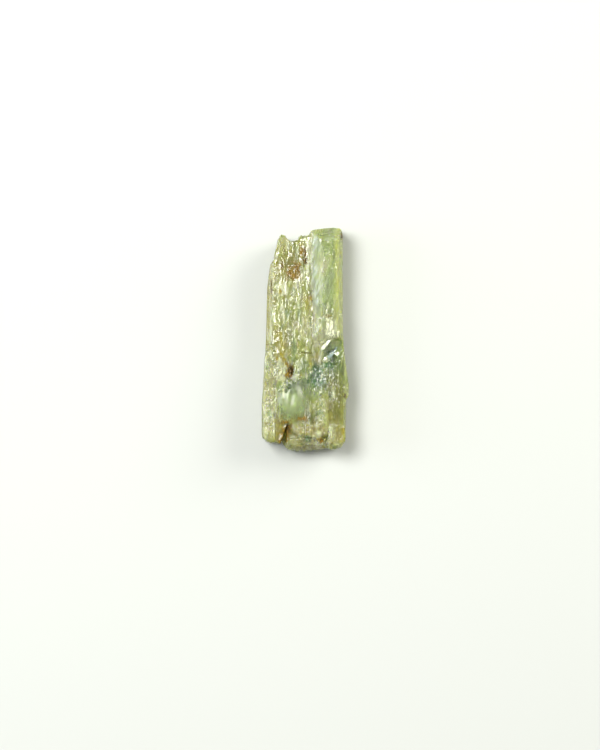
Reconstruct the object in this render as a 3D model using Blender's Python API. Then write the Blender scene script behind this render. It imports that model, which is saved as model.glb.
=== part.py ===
"""A rough green kyanite crystal, 28 mm long.

Flat blades that lie side by side and on top of each other have grown together into one solid.
It lies on its broad cleavage face: +Y runs along the blades to the head, +X across them, and
+Z up through the thickness. The origin is under the middle of its box, on the resting face.
Each blade is a prism on its plan outline, with chamfered edges and end faces cut by planes.
"""

import bmesh
import bpy
from mathutils import Matrix, Vector

MM = 0.001

# Driving dimensions, in millimetres
LENGTH = 28.0  # along the blades
WIDTH = 10.8  # across them
THICKNESS = 5.2  # from the resting face to the highest crest
BED_THICKNESS = 2.7  # of the broad blade that carries the others
RIM = 0.3  # chamfer along a blade's edges
MERGE_DISTANCE = 0.001  # points of the joined solid closer than this become one

HEAD, FOOT = LENGTH / 2, -LENGTH / 2
RIGHT, LEFT = WIDTH / 2, -WIDTH / 2
TOP = THICKNESS

STONE_COLOUR = (0.43, 0.49, 0.24, 1.0)
STONE_ROUGHNESS = 0.3
STONE_IOR = 1.72
STONE_TRANSMISSION = 0.5


def clear_scene():
    for obj in list(bpy.data.objects):
        bpy.data.objects.remove(obj, do_unlink=True)


def stone():
    """Translucent green kyanite with a glassy break."""
    material = bpy.data.materials.new("green_kyanite")
    material.use_nodes = True
    shader = material.node_tree.nodes["Principled BSDF"]
    shader.inputs["Base Color"].default_value = STONE_COLOUR
    shader.inputs["Roughness"].default_value = STONE_ROUGHNESS
    shader.inputs["Metallic"].default_value = 0.0
    shader.inputs["IOR"].default_value = STONE_IOR
    shader.inputs["Transmission Weight"].default_value = STONE_TRANSMISSION
    return material


def object_from(name, bm):
    """A new object, in metres, of a shape drawn in millimetres."""
    bmesh.ops.recalc_face_normals(bm, faces=bm.faces)
    bmesh.ops.scale(bm, vec=(MM, MM, MM), verts=bm.verts)
    mesh = bpy.data.meshes.new(name)
    bm.to_mesh(mesh)
    bm.free()
    obj = bpy.data.objects.new(name, mesh)
    bpy.context.collection.objects.link(obj)
    return obj


def cut_face(bm, point, normal):
    """Takes off what lies beyond a plane and closes the cut with one face."""
    geometry = bm.verts[:] + bm.edges[:] + bm.faces[:]
    cut = bmesh.ops.bisect_plane(
        bm, geom=geometry, dist=1e-6, plane_co=point, plane_no=normal, clear_outer=True
    )
    edges = [e for e in cut["geom_cut"] if isinstance(e, bmesh.types.BMEdge)]
    bmesh.ops.holes_fill(bm, edges=edges)


def blade(name, outline, keel, crest, lean=(0.0, 0.0), rim=RIM, faces=()):
    """A prism from keel up to crest on a plan outline. lean is how far the crest rises for each
    millimetre along X and Y, and faces are (point, normal) planes that cut its ends and shoulders."""
    bm = bmesh.new()
    floor = bm.faces.new([bm.verts.new((x, y, keel)) for x, y in outline])
    raised = bmesh.ops.extrude_face_region(bm, geom=[floor])["geom"]
    crest_verts = [v for v in raised if isinstance(v, bmesh.types.BMVert)]
    middle = sum((Vector(p) for p in outline), Vector((0, 0))) / len(outline)
    for v in crest_verts:
        v.co.z = crest + lean[0] * (v.co.x - middle.x) + lean[1] * (v.co.y - middle.y)
    bmesh.ops.recalc_face_normals(bm, faces=bm.faces)
    for point, normal in faces:
        cut_face(bm, point, normal)
    sharp = [e for e in bm.edges if min(v.co.z for v in e.verts) > keel + 1e-6 or upright(e)]
    bmesh.ops.bevel(
        bm, geom=sharp, offset=rim, segments=1, profile=0.5, affect="EDGES", clamp_overlap=True
    )
    return object_from(name, bm)


def upright(edge):
    """True for an edge that runs up through the thickness."""
    run = edge.verts[1].co - edge.verts[0].co
    return abs(run.z) > 0.9 * run.length


def ellipsoid(name, centre, radii, turn=0.0, detail=3):
    """A rounded lump or hollow, or a faceted one at a low detail. turn is its angle about Z, in radians."""
    bm = bmesh.new()
    bmesh.ops.create_icosphere(bm, subdivisions=detail, radius=1.0)
    shape = Matrix.Translation(centre) @ Matrix.Rotation(turn, 4, "Z") @ Matrix.Diagonal((*radii, 1.0))
    bmesh.ops.transform(bm, matrix=shape, verts=bm.verts)
    return object_from(name, bm)


def bed():
    """The broad blade at the back, which the crystal rests on."""
    outline = [
        (LEFT + 0.25, -12.2), (LEFT + 0.65, -12.6), (-3.1, -12.65), (-2.75, -13.2), (-2.3, FOOT + 0.25),
        (0.7, FOOT + 0.25), (2.7, -13.3), (4.4, -13.1), (4.75, -12.3), (4.8, -9.5), (RIGHT - 0.25, -7.3),
        (RIGHT - 0.35, -5.4), (4.45, -0.6), (4.35, HEAD - 0.7), (0.9, HEAD - 0.9), (0.4, 12.4),
        (-3.1, 12.3), (-3.75, 9.9), (-4.35, 8.4), (-4.6, 3.0), (-4.85, -4.0),
    ]
    return blade("kyanite_crystal", outline, 0.0, BED_THICKNESS, rim=0.25)


def clean_blade():
    """The clear, glassy blade at the head: a broad left shoulder, a slanting end face, and a foot
    that falls away to the blades below it."""
    outline = [
        (0.55, -0.4), (4.62, -0.4), (4.58, 13.2), (4.4, 13.85), (3.3, HEAD), (0.85, 13.7), (0.5, 13.2),
    ]
    shoulder = ((1.75, 6.0, TOP), (-0.68, 0.0, 0.73))
    end_face = ((2.5, 12.6, TOP), (0.0, 0.72, 0.69))
    edge_face = ((4.1, 6.0, TOP), (0.8, 0.0, 0.6))
    foot_face = ((2.5, 0.9, TOP), (-0.1, -0.46, 0.88))
    faces = [shoulder, end_face, edge_face, foot_face]
    return blade("clean_blade", outline, 0.8, TOP, rim=0.16, faces=faces)


def head_blades():
    """The lower, stained blades beside the clean one: a broad one, a round horn and a shelf."""
    broad = [
        (-5.12, -6.8), (0.9, -6.8), (0.9, 12.3), (-3.4, 12.35), (-3.85, 10.8), (-3.98, 9.85),
        (-4.4, 9.4), (-4.75, 6.4), (-4.88, 2.0), (-5.02, -2.6),
    ]
    horn = [
        (-3.62, 8.4), (-2.2, 8.4), (-2.16, 12.3), (-2.4, 12.8), (-2.85, 13.02), (-3.3, 12.8), (-3.56, 12.2),
    ]
    shelf = [(-1.0, 5.6), (0.9, 5.6), (0.9, 13.02), (0.2, 12.95), (-0.6, 12.72), (-1.0, 12.5)]
    left_shoulder = ((-4.1, 4.0, 4.25), (-0.72, 0.0, 0.69))
    foot_face = ((-2.0, -5.6, 4.35), (0.0, -0.28, 0.96))
    return [
        blade("broad_blade", broad, 0.4, 4.25, lean=(0.05, -0.01), faces=[left_shoulder, foot_face]),
        blade("horn", horn, 1.0, 4.05, lean=(0.1, 0.0), rim=0.4),
        blade("shelf", shelf, 0.7, 4.28, lean=(0.12, 0.0), rim=0.2),
    ]


def flank_blades():
    """The right side below the clean blade, which swells to the crystal's full width."""
    flank = [
        (1.95, -0.4), (2.3, 0.9), (3.4, 1.1), (4.58, 1.4), (4.7, -1.0), (4.95, -3.0), (5.22, -4.4),
        (RIGHT, -5.6), (RIGHT, -7.1), (5.12, -7.6), (4.98, -9.4), (4.92, -11.4), (2.3, -11.5), (1.75, -7.0),
    ]
    right_foot = [
        (3.1, -10.7), (2.75, -12.6), (2.45, -13.4), (2.9, -13.62), (3.75, -13.56), (4.5, -13.32),
        (4.88, -12.85), (4.98, -12.2), (4.9, -11.2), (4.8, -10.9),
    ]
    right_shoulder = ((4.55, -5.0, 4.62), (0.75, 0.0, 0.66))
    foot_face = ((3.7, -13.1, 4.5), (0.1, -0.78, 0.62))
    return [
        blade("flank", flank, 0.35, 4.6, lean=(0.03, 0.01), faces=[right_shoulder]),
        blade("right_foot", right_foot, 0.6, 4.58, lean=(-0.03, 0.0), rim=0.3, faces=[foot_face]),
    ]


def foot_blades():
    """The foot: a rail along the left edge, a web beside it, and a thinner middle that ends lowest."""
    rail = [
        (LEFT, -8.0), (LEFT, -12.1), (-5.2, -12.6), (-4.7, -12.88), (-3.75, -12.95), (-3.85, -6.5),
        (-4.2, -3.6), (-4.75, -1.6), (-5.05, -1.9), (-5.2, -4.8),
    ]
    web = [
        (-4.2, -12.95), (-3.12, -12.92), (-2.85, -11.9), (-2.15, -10.0), (-2.15, -4.6), (-3.2, -3.4),
        (-4.2, -4.4),
    ]
    middle = [
        (-2.4, -13.3), (-2.15, -13.88), (-1.7, FOOT), (-0.5, FOOT), (0.9, -13.88), (1.9, -13.7),
        (2.7, -13.4), (2.7, -8.0), (-2.4, -8.0),
    ]
    heart = [
        (-2.6, -10.2), (-1.3, -12.1), (1.2, -12.6), (2.9, -12.2), (3.0, 1.5), (1.7, 5.0), (0.6, 5.4),
        (-1.4, 1.0), (-2.6, -3.4),
    ]
    middle_face = ((0.0, -13.2, 3.8), (0.0, -0.8, 0.6))
    return [
        blade("rail", rail, 0.3, 4.4, lean=(0.03, 0.0), rim=0.28),
        blade("web", web, 0.6, 4.18, rim=0.15),
        blade("middle_foot", middle, 0.15, 3.8, lean=(0.03, 0.0), rim=0.28, faces=[middle_face]),
        blade("heart", heart, 0.9, 4.38, lean=(0.03, -0.01)),
    ]


def lump():
    """The smooth rounded swelling above the foot."""
    return ellipsoid("lump", (-1.8, -7.6, 4.05), (1.75, 2.55, 1.0))


def hollows():
    """What is broken or etched out of the upper side: a shell-shaped break, a pit and an angular chip."""
    chip = [(-2.35, 7.75), (-1.6, 7.55), (-0.95, 7.7), (-0.75, 8.9), (-1.15, 9.35), (-2.05, 9.1)]
    return [
        ellipsoid("shell_break", (3.5, -1.5, 5.35), (1.75, 2.0, 1.3), turn=-0.6, detail=2),
        ellipsoid("deep_pit", (-1.88, -4.05, 4.75), (0.4, 0.72, 1.35), detail=2),
        blade("stained_chip", chip, 4.14, TOP + 1.0, rim=0.1),
    ]


def combine(body, other, operation):
    """Adds other to body, or takes it away, and leaves it as a hidden guide."""
    modifier = body.modifiers.new(f"{operation.lower()}_{other.name}", "BOOLEAN")
    modifier.operation = operation
    modifier.object = other
    modifier.solver = "EXACT"
    other.hide_render = True
    other.display_type = "WIRE"


def main():
    clear_scene()
    crystal = bed()
    for grown in [clean_blade(), *head_blades(), *flank_blades(), *foot_blades(), lump()]:
        combine(crystal, grown, "UNION")
    for hollow in hollows():
        combine(crystal, hollow, "DIFFERENCE")
    weld = crystal.modifiers.new("weld", "WELD")
    weld.merge_threshold = MERGE_DISTANCE * MM
    crystal.data.materials.append(stone())


main()
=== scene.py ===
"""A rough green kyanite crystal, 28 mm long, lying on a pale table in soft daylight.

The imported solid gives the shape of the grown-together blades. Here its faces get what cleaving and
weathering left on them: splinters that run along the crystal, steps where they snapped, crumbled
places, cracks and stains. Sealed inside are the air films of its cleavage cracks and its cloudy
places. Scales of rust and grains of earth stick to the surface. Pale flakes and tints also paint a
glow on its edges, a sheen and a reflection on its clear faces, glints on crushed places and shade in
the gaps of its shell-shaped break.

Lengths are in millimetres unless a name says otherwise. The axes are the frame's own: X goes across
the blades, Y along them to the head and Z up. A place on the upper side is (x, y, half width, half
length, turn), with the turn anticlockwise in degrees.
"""

import math

import bpy
import numpy as np
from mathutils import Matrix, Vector
from mathutils.bvhtree import BVHTree


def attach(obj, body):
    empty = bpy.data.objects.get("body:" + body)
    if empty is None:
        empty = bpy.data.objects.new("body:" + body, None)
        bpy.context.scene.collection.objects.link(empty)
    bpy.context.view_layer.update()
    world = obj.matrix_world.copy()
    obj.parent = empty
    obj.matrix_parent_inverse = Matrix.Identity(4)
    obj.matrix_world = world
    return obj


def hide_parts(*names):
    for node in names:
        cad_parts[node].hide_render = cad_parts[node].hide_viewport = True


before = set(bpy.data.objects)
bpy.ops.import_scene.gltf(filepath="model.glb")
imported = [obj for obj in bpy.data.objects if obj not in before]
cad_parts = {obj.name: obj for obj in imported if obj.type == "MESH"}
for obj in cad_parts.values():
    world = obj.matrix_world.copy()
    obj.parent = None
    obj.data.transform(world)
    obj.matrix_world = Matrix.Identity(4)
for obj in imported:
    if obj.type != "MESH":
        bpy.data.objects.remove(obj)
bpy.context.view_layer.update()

MM = 0.001
NODE = "kyanite_crystal"

# The mesh of the crystal
FINE_STEP = 0.06  # between neighbouring points while the surface is worked
MOST_TRIANGLES = 196000
BLADE_TURN = -1.3  # how far the blades' pattern is turned from Y, in degrees
STREAK_LEAN = 24.0  # how far the clear blade's streaks lean to the right going up, in degrees

# The camera, straight above the crystal
VIEW_HEIGHT = 93.75  # what the picture covers from top to bottom at the upper side
VIEW_CENTRE = (-0.69, -4.5, 4.6)
CAMERA_HEIGHT = 330.0  # above the upper side
SENSOR = 36.0
NEAREST_SEEN = 10.0

# ---------------------------------------------------------------- places on the upper side

CLEAR_BLADE = (3.2, 6.4, 1.2, 7.4, 0)
LUMP = (-1.75, -7.7, 1.9, 2.7, 0)
# Faces that cleaved clean or were worn smooth
SMOOTH = [
    CLEAR_BLADE,
    LUMP,
    (0.9, -6.3, 1.5, 1.2, 0),
    (-2.85, 12.2, 0.6, 0.8, 0),
    (-2.2, 10.4, 1.2, 1.5, 0),
    (0.3, -13.6, 2.3, 0.35, 0),
    (3.3, -1.5, 1.2, 1.5, 0),
]
# The slanting face beside the clear blade, half smooth
HALF_SMOOTH = [(1.35, 7.6, 0.75, 5.9, 0)]
# The middle of the broad blade, where the splinters are a little lower
CALMER = [(-1.7, 2.2, 2.4, 3.4, 0)]
# Faces that crumbled to fine grains
GRAINY = [
    (-4.15, 7.2, 0.55, 2.7, -4),
    (2.4, -5.0, 1.2, 1.6, 0),
    (-4.6, -9.0, 0.75, 3.6, 0),
    (3.55, -6.0, 0.4, 1.8, 0),
    (1.8, -8.7, 0.7, 2.9, 0),
    (3.2, -11.7, 0.5, 0.8, 0),
    (-1.2, -5.0, 0.6, 0.45, 0),
    (-4.1, -3.6, 0.9, 1.2, 0),
    (3.3, -6.9, 0.55, 1.3, 0),
    (1.2, -5.0, 1.2, 1.4, 0),
    (0.3, -11.6, 1.6, 1.1, 0),
    (0.3, -13.0, 1.8, 0.5, 0),
]
# Faces with the soft gloss of satin: the lump and the upper rim of the shell-shaped break
SATIN = [LUMP, (2.5, -0.75, 0.6, 0.9, -35)]
# Edges of the clear blade with a silky sheen
SILKY = [(1.45, 8.0, 0.75, 5.6, 0), (2.8, 12.65, 1.5, 0.35, 0)]
# The clear blade's left shoulder, rippled by its slanting streaks
RIPPLED = [(1.3, 8.0, 0.75, 5.2, 0)]
# A low crest on the lump, and its middle
CREST_X, CREST_Y = -1.55, -7.85
CREST = [(CREST_X, CREST_Y, 0.36, 1.0, 0)]
# Crusts of rust, in the stained chip, round the pit and between the blades of the foot
RUST = [
    (-1.8, 8.2, 0.55, 0.5, 0),
    (-1.15, 8.5, 0.32, 0.7, 15),
    (-0.95, 9.0, 0.25, 0.4, 0),
    (-2.0, 8.75, 0.2, 0.3, 0),
    (-1.4, 7.65, 0.4, 0.2, 0),
    (-0.47, 10.75, 0.15, 0.4, 0),
    (-2.2, -4.35, 0.22, 0.4, 0),
    (-2.35, -3.2, 0.1, 0.25, 30),
    (-2.5, -10.4, 0.3, 0.18, 0),
    (-0.35, -10.0, 0.42, 0.22, 15),
    (-2.6, -12.0, 0.45, 0.8, -20),
    (1.95, -12.7, 0.3, 0.22, 30),
]
# Yellow stains of rust that have no crust
STAINS = [
    (-3.06, 5.9, 0.2, 0.24, 0),
    (-3.56, -2.5, 0.16, 0.25, 0),
    (-3.06, -1.9, 0.14, 0.25, 20),
    (-2.7, -2.5, 0.16, 0.28, 20),
    (4.62, -11.5, 0.2, 0.5, 0),
    (2.85, 2.9, 0.45, 0.14, 0),
    (0.6, 5.1, 0.22, 0.35, 0),
]
# Blades that iron has tinted
OCHRE = [
    (-2.2, 9.6, 1.5, 2.2, 0),
    (-0.4, 10.9, 0.5, 1.2, 0),
    (-3.2, 0.0, 0.9, 1.6, 0),
    (-3.2, -11.3, 0.7, 1.6, 0),
    (-1.9, -11.0, 0.5, 1.0, 0),
    (0.4, -11.6, 1.8, 1.6, 0),
    (3.75, -8.0, 0.8, 3.0, 0),
    (0.4, 4.4, 0.4, 1.0, 0),
    (1.95, -0.45, 0.2, 0.9, -12),
    (4.3, -12.0, 0.6, 1.3, 0),
    (0.4, -13.6, 2.2, 0.35, 0),
    (4.9, -7.1, 0.2, 0.25, 0),
    (3.5, -9.5, 0.9, 1.5, 0),
    (-4.7, 3.6, 0.4, 4.4, -3),
]
# Edges painted a pale yellow green: a painted glow that stands in for light leaving the crystal there
PAINTED_GLOW_PLACES = [
    (4.25, 6.6, 0.65, 7.2, 0),
    (0.3, -13.5, 2.2, 0.5, 0),
    (3.7, -13.3, 1.2, 0.3, 0),
    (5.15, -6.0, 0.3, 5.5, 0),
    (4.8, -9.3, 0.35, 3.0, 0),
    (-3.75, -8.0, 0.2, 1.6, 0),
    (-3.95, -11.2, 0.2, 1.2, 0),
    (-2.3, 12.0, 0.2, 0.6, 0),
]
# Deep teal places below the shell-shaped break and at the foot
TEAL = [
    (1.35, -4.6, 0.7, 1.2, -20),
    (2.7, -3.3, 0.7, 0.4, 0),
    (0.2, -12.5, 0.4, 0.4, 0),
    (2.0, -5.3, 0.5, 0.5, 0),
]
# Dark earth in the pit, the cracks and the deepest corners
PIT_EARTH = [
    (-1.88, -4.1, 0.3, 0.68, 0),
    (-0.07, 9.75, 0.22, 0.4, 0),
    (-0.05, 10.7, 0.1, 0.6, 5),
    (-1.97, 8.25, 0.22, 0.45, 0),
    (-0.97, 8.85, 0.2, 0.42, 20),
    (-1.35, 8.2, 0.1, 0.3, 0),
    (-2.15, -11.2, 0.28, 0.5, -30),
    (4.5, 12.9, 0.12, 0.35, 0),
    (-4.3, 6.4, 0.04, 0.8, 0),
    (0.0, -1.75, 0.7, 0.045, 0),
    (-2.9, 9.2, 0.12, 0.35, 0),
    (-0.2, -9.95, 0.14, 0.18, 0),
    (4.93, -7.15, 0.12, 0.16, 0),
]
# Places where many fine cracks make the crystal paler
PALE = [
    (-2.85, 12.2, 0.6, 0.8, 0),
    (-4.35, 7.0, 0.45, 3.0, -4),
    (-4.7, -7.7, 0.8, 4.4, 0),
    (-0.2, 2.0, 0.9, 1.1, 0),
    (1.0, 2.6, 0.3, 2.2, 0),
    (3.7, -12.3, 1.0, 1.0, 0),
    (-3.2, -3.9, 1.2, 1.3, 0),
    (2.3, 9.2, 0.4, 1.0, -20),
    (-4.5, -1.0, 0.4, 3.0, 0),
    (3.4, 1.3, 0.8, 1.4, 0),
    (0.65, 13.1, 0.25, 0.5, 0),
    (-4.3, -9.6, 0.9, 3.0, 0),
    (0.2, -12.2, 1.9, 1.4, 0),
    (-0.6, -11.2, 0.7, 0.5, 0),
    (0.3, -13.4, 1.9, 0.4, 0),
    (-3.2, -4.6, 0.8, 0.8, 0),
    (1.5, -2.6, 0.7, 0.7, 0),
    (-3.0, 6.2, 0.9, 0.8, 0),
    (1.6, -12.9, 1.0, 0.4, 0),
    (-3.0, -2.6, 0.9, 1.0, 0),
    (1.6, 0.4, 0.8, 0.9, 0),
    (0.3, -11.4, 1.6, 0.7, 0),
]
# Streaks that slant across the clear blade and its left shoulder, painted pale: a painted sheen of the sky's
# reflection
PAINTED_SHEEN_PLACES = [
    (1.15, 9.7, 0.5, 3.2, 0),
    (2.1, 6.7, 0.45, 1.1, -15),
    (2.2, 8.9, 0.12, 0.75, -35),
    (1.35, 5.2, 0.3, 0.9, 0),
]
# Where the lump is milky
MILKY = [(-1.65, -8.6, 1.6, 1.8, 0)]
# Thick, clear places that look darker and bluer
DEEP = [
    (3.6, -2.9, 1.4, 2.3, 0),
    (1.2, -4.6, 1.2, 1.3, 0),
    (-1.3, -5.9, 1.4, 0.8, 0),
    (-0.2, -3.6, 0.8, 0.9, 0),
]
# Thick places that look olive
OLIVE = [
    (4.0, -8.0, 1.0, 2.6, 0),
    (3.8, -5.2, 0.9, 1.0, 0),
    (3.0, -5.8, 0.9, 1.0, 0),
    (0.6, -10.0, 1.4, 0.6, 0),
]
# Bruised places, full of cracks and so nearly white, and places painted white for glints: partly crushed
# stone, partly painted glints
CRUSHED_AND_GLINT_PLACES = [
    (-3.0, 6.2, 0.75, 0.7, 0),
    (2.85, 1.3, 0.17, 1.1, 0),
    (3.3, 0.9, 0.12, 0.9, 0),
    (3.75, 1.5, 0.2, 0.9, 0),
    (0.4, 11.6, 0.3, 0.7, 0),
    (0.15, 10.6, 0.2, 0.35, 0),
    (0.5, 10.0, 0.2, 1.0, 0),
    (0.15, 9.0, 0.2, 0.6, 0),
    (0.35, 7.6, 0.18, 0.8, 0),
    (-2.35, 11.7, 0.12, 0.5, 0),
    (0.1, -2.15, 0.16, 0.5, 0),
    (-0.95, 11.0, 0.13, 0.6, 0),
    (2.5, -0.7, 0.25, 0.6, -35),
    (2.5, -2.5, 0.35, 0.35, 0),
    (1.8, -13.0, 0.75, 0.25, 0),
    (-2.8, 3.3, 0.15, 0.9, 0),
    (-2.75, 0.5, 0.12, 0.7, 0),
    (-3.55, 10.6, 0.14, 0.32, 0),
    (-0.5, 7.9, 0.13, 0.22, 0),
    (-1.9, 7.1, 0.2, 0.22, 0),
    (-0.66, 6.0, 0.2, 0.2, 0),
    (-1.4, 5.8, 0.1, 0.35, 0),
    (-3.0, 3.8, 0.2, 0.32, 0),
    (-4.1, 2.9, 0.06, 0.6, 0),
    (0.6, 4.7, 0.14, 0.55, 0),
    (2.8, 4.1, 0.1, 0.4, 0),
    (2.6, 3.3, 0.18, 0.22, 0),
    (-4.4, 0.75, 0.1, 0.4, 0),
    (-4.34, -2.0, 0.18, 0.45, 0),
    (0.88, -1.4, 0.1, 0.16, 0),
    (3.4, 0.7, 0.7, 0.35, 0),
    (0.74, -4.1, 0.26, 0.14, 40),
    (0.14, -4.7, 0.1, 0.3, 0),
    (2.0, -4.75, 0.1, 0.5, -12),
    (3.5, -6.9, 0.22, 0.6, 0),
    (1.7, -9.8, 0.16, 0.35, 0),
    (0.34, -10.5, 0.14, 0.14, 0),
    (1.34, -10.85, 0.28, 0.25, 0),
    (-1.45, -11.2, 0.12, 0.35, 0),
    (-0.75, -12.1, 0.18, 0.26, 0),
    (3.1, -11.6, 0.3, 0.45, 0),
    (-4.84, -10.0, 0.2, 0.3, 0),
    (-5.0, -11.5, 0.15, 0.4, 0),
    (-3.68, -7.9, 0.1, 1.5, 0),
    (-3.93, -11.2, 0.13, 1.1, 0),
    (-2.75, -6.5, 0.12, 0.9, -10),
    (-2.6, -3.9, 0.35, 0.5, 0),
    (-3.3, -3.2, 0.3, 0.6, 0),
    (-3.9, -4.2, 0.2, 0.5, 0),
    (1.5, 1.0, 0.12, 0.8, 0),
    (2.1, 0.6, 0.15, 0.7, 0),
    (1.2, 0.2, 0.1, 0.5, 0),
    (3.0, 2.0, 0.25, 0.5, 0),
    (3.0, 0.25, 0.65, 0.5, 0),
    (-3.1, -4.7, 0.5, 0.45, 0),
    (1.3, -0.2, 0.25, 0.8, 0),
    (1.9, 0.2, 0.2, 0.6, 0),
    (2.9, 1.2, 0.4, 0.9, 0),
    (1.6, -11.9, 0.35, 0.35, 0),
    (1.1, -12.35, 0.25, 0.25, 0),
]
# Crushed places that lie open and look white; their white flakes on the surface are also painted glints
CHALK_AND_GLINT_PLACES = [
    (2.75, 1.9, 0.13, 0.8, 0),
    (3.1, 0.75, 0.5, 0.35, 0),
    (3.25, 1.6, 0.2, 0.7, 0),
    (4.1, 0.75, 0.08, 0.45, 0),
]
# In the shell-shaped break: bluish white films that are a painted reflection, and the dark gaps beside them,
# which are painted shade
PAINTED_REFLECTION_PLACES = [(3.62, -1.4, 0.1, 0.5, -36), (3.12, -2.05, 0.27, 0.42, -36)]
PAINTED_SHADE_GAPS = [(3.2, -1.55, 0.5, 0.1, 30), (3.45, -2.6, 0.3, 0.24, 20)]
# Where the steps between the blades are worn down, where they are rubbed quite round, and where the
# lump and the slope above it are rounded once more
WEATHERED = [(0.6, -6.9, 4.4, 4.4, 0), (-1.5, 1.0, 3.0, 5.0, 0), (0.4, -12.2, 1.8, 0.9, 0)]
RUBBED = [
    (2.7, 7.0, 2.2, 7.2, 0),
    (-2.85, 12.0, 1.0, 1.3, 0),
    (-4.1, -3.4, 1.2, 2.6, 0),
    (-1.8, -7.4, 2.2, 3.2, 0),
]
ROUNDED = MILKY + [(-1.6, -6.2, 2.0, 1.6, 0)]
# Straight cracks and ridges: from (x, y) to (x, y), half width, height
LINES = [
    (-4.3, 4.9, -4.28, 7.1, 0.06, -0.15),
    (-4.95, -0.75, -4.3, -0.7, 0.07, -0.12),
    (-0.7, -1.75, 0.75, -1.78, 0.05, -0.14),
    (2.4, 2.92, 3.35, 2.85, 0.05, -0.12),
    (2.75, -1.85, 3.6, -1.3, 0.1, -0.16),
    (2.8, -12.4, 2.3, -13.6, 0.1, -0.3),
    (0.45, 12.2, 0.35, 8.0, 0.12, 0.12),
    (-2.2, -10.1, -3.06, -12.6, 0.12, 0.2),
    (-3.7, -6.3, -3.72, -9.2, 0.09, 0.1),
    (-3.95, -10.0, -3.9, -12.4, 0.1, 0.1),
    (-2.7, -5.6, -2.85, -7.4, 0.12, 0.05),
]
# Flat breaks: x, y, half width, half length, turn, its height and how it rises along X and Y, and how
# far the surface goes over to it
FACETS = [
    (-3.6, -3.9, 1.9, 2.5, 0, 4.3, 0.0, 0.03, 0.85),
    (-1.55, 8.45, 1.0, 1.1, 0, 4.28, 0.05, -0.01, 1.0),
    (-2.85, 11.7, 0.8, 1.3, 0, 4.08, -0.05, -0.12, 1.0),
    (3.95, -0.85, 0.85, 0.75, 0, 4.25, -0.05, 0.1, 1.0),
    (3.5, -2.6, 0.75, 0.5, -50, 3.9, -0.25, -0.2, 1.0),
    (3.35, -1.8, 0.25, 0.9, -36, 4.1, 0.1, 0.05, 1.0),
    (2.53, -0.66, 0.27, 0.78, -40, 4.55, 0.24, -0.17, 1.0),
    (2.42, -2.48, 0.3, 0.3, -30, 4.25, 0.25, -0.16, 1.0),
    (0.2, -12.95, 2.2, 0.55, 0, 4.0, 0.02, 0.5, 0.6),
]

# How the places of each kind fray into the stone around them, in the words of zone()
FRAY = {
    "smooth": {"places": SMOOTH, "seed": 2},
    "half_smooth": {"places": HALF_SMOOTH, "seed": 15},
    "polished": {"places": [CLEAR_BLADE], "seed": 2},
    "pale": {"places": PALE, "edge": 0.6, "ragged": 0.6, "seed": 13},
    "milky": {"places": MILKY, "edge": 0.4, "seed": 22},
    "grainy": {"places": GRAINY, "edge": 0.4, "seed": 5},
    "satin": {"places": SATIN, "edge": 0.4, "seed": 16},
    "silky": {"places": SILKY, "edge": 0.5, "ragged": 0.4, "seed": 19},
    "deep": {"places": DEEP, "edge": 0.6, "ragged": 0.6, "seed": 17},
    "olive": {"places": OLIVE, "edge": 0.6, "ragged": 0.6, "seed": 23},
    "painted_reflection": {"places": PAINTED_REFLECTION_PLACES, "edge": 0.5, "size": 0.15, "seed": 20},
    "gap": {"places": PAINTED_SHADE_GAPS, "edge": 0.5, "size": 0.15, "seed": 21},
    "rust": {"places": RUST + STAINS, "edge": 0.6, "ragged": 0.9, "size": 0.16, "seed": 6},
    "rust_crust": {"places": RUST, "edge": 0.6, "ragged": 0.9, "size": 0.16, "seed": 6},
    "ochre": {"places": OCHRE, "edge": 0.5, "ragged": 0.5, "seed": 7},
    "painted_glow": {"places": PAINTED_GLOW_PLACES, "edge": 0.5, "ragged": 0.3, "seed": 12},
    "teal": {"places": TEAL, "edge": 0.5, "ragged": 0.4, "seed": 8},
    "earth": {"places": PIT_EARTH, "edge": 0.5, "ragged": 0.5, "size": 0.15, "seed": 9},
    "crushed_and_painted_glints": {"places": CRUSHED_AND_GLINT_PLACES, "edge": 0.4, "ragged": 0.5, "size": 0.15, "seed": 10},
    "crushed_and_glint_core": {"places": CRUSHED_AND_GLINT_PLACES, "ragged": 0.5, "size": 0.15, "seed": 10},
    "chalk_and_painted_glints": {"places": CHALK_AND_GLINT_PLACES, "edge": 0.5, "ragged": 0.5, "size": 0.15, "seed": 24},
    "painted_sheen_zone": {"places": PAINTED_SHEEN_PLACES, "edge": 0.6, "seed": 18},
    "free_of_veils": {"places": PAINTED_SHADE_GAPS + TEAL + RUST + STAINS + PIT_EARTH, "edge": 0.5, "seed": 8},
}


def linear(hex_colour):
    """An sRGB hex colour as linear numbers with an alpha of 1."""
    steps = [int(hex_colour[i : i + 2], 16) / 255 for i in (1, 3, 5)]
    return tuple(s / 12.92 if s <= 0.04045 else ((s + 0.055) / 1.055) ** 2.4 for s in steps) + (1.0,)


def add(tree, kind, inputs=None, **settings):
    """Adds a node with its settings, and gives each input a value or another node's output."""
    made = tree.nodes.new(kind)
    for name, value in settings.items():
        setattr(made, name, value)
    for socket, value in (inputs or {}).items():
        if isinstance(value, bpy.types.NodeSocket):
            tree.links.new(value, made.inputs[socket])
        else:
            made.inputs[socket].default_value = value
    return made


# ---------------------------------------------------------------- patterns on the surface

LATTICE = 32  # random values along each side of the noise's cube, which repeats
FAR_OFF = 1000.0  # keeps the noise's cells above zero
SPLINTER_COUNT, SPLINTER_ROWS = 400, 64
SPLINTER_WIDTHS = (0.45, 1.55)  # the narrowest and the widest, as shares of the usual width
SPLINTER_LENGTHS = (0.5, 1.5)
SQUARENESS = 3  # of a place's outline: 2 would be an ellipse
LINE_WANDER = 0.6  # how far a crack strays, as a share of its half width
STRAY_SIZE = 0.3


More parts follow.
